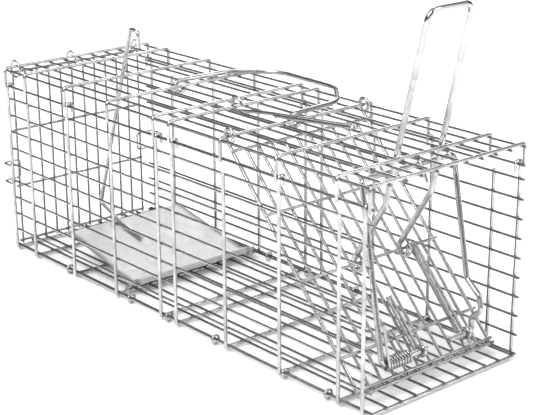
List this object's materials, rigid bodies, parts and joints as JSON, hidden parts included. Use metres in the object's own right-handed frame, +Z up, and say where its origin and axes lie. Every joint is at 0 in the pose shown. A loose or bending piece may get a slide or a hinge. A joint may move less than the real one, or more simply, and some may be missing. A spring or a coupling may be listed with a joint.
{
  "type": "live catch trap",
  "caption": "Wire-mesh live catch trap with a sloping lift door, sprung lock bail, tall set handle, bait plate trigger and carry handle.",
  "frame": {"origin": "centre of the cage's outline on the ground, at the lowest point of the floor rings", "axes": "+X along the cage toward the entrance, +Y toward the right side panel, +Z up"},
  "size_m": [0.3857, 0.1366, 0.2269],
  "materials": {
    "mesh_wire": "zinc-plated mesh wire",
    "small_wire": "zinc-plated thin wire",
    "formed_wire": "zinc-plated formed wire",
    "heavy_wire": "bright zinc-plated rod",
    "spring_wire": "spring steel, plated",
    "plate_sheet": "galvanised sheet, matt"
  },
  "bodies": {
    "cage": {"floor_panel": "mesh_wire", "side_panel_left": "mesh_wire", "side_panel_right": "mesh_wire", "top_panel": "mesh_wire", "floor_rings_left": "small_wire", "floor_rings_right": "small_wire", "bail_keepers": "small_wire", "plate_axle": "small_wire"},
    "rear_door": {"rear_panel": "mesh_wire", "rear_hinge_rings": "small_wire", "rear_latch_left": "small_wire", "rear_latch_right": "small_wire"},
    "front_door": {"door_grid": "mesh_wire", "door_side_rod_left": "formed_wire", "door_side_rod_right": "formed_wire", "bail_bracket_left": "formed_wire", "bail_bracket_right": "formed_wire", "bail_spring": "spring_wire"},
    "lock_bail": {"lock_bail": "heavy_wire"},
    "set_handle": {"set_handle": "heavy_wire"},
    "trigger": {"bait_plate": "plate_sheet", "trigger_rod": "heavy_wire"},
    "hold_down_arm": {"hold_down_arm": "formed_wire"},
    "carry_handle": {"carry_handle": "heavy_wire"}
  },
  "joints": [
    {"name": "door_swing", "type": "hinge", "parent": "cage", "child": "front_door", "pos_m": [0.05925, 0, 0.13875], "axis": [0, -1, 0], "range_deg": [0, 32]},
    {"name": "bail_fold", "type": "hinge", "parent": "front_door", "child": "lock_bail", "pos_m": [0.1714, 0, 0.01976], "axis": [0, -1, 0], "range_deg": [0, 28.2], "deforming": ["bail_spring"]},
    {"name": "handle_tilt", "type": "hinge", "parent": "front_door", "child": "set_handle", "pos_m": [0.12454, 0, 0.06417], "axis": [0, -1, 0], "range_deg": [0, 24]},
    {"name": "trigger_tilt", "type": "hinge", "parent": "cage", "child": "trigger", "pos_m": [-0.053, 0, 0.0088], "axis": [0, -1, 0], "range_deg": [0, 9.5]},
    {"name": "arm_swing", "type": "hinge", "parent": "cage", "child": "hold_down_arm", "pos_m": [0.00825, 0, 0.13875], "axis": [0, -1, 0], "range_deg": [0, 155]},
    {"name": "carry_handle_lift", "type": "hinge", "parent": "cage", "child": "carry_handle", "pos_m": [0, 0, 0.137], "axis": [1, 0, 0], "range_deg": [0, 78]},
    {"name": "rear_door_swing", "type": "hinge", "parent": "cage", "child": "rear_door", "pos_m": [-0.18725, 0, 0.13875], "axis": [0, 1, 0], "range_deg": [0, 90]}
  ],
  "couplings": [
    {"joint": "bail_fold", "follows": "door_swing", "ratio": 0.88},
    {"joint": "handle_tilt", "follows": "door_swing", "ratio": 0.75}
  ]
}
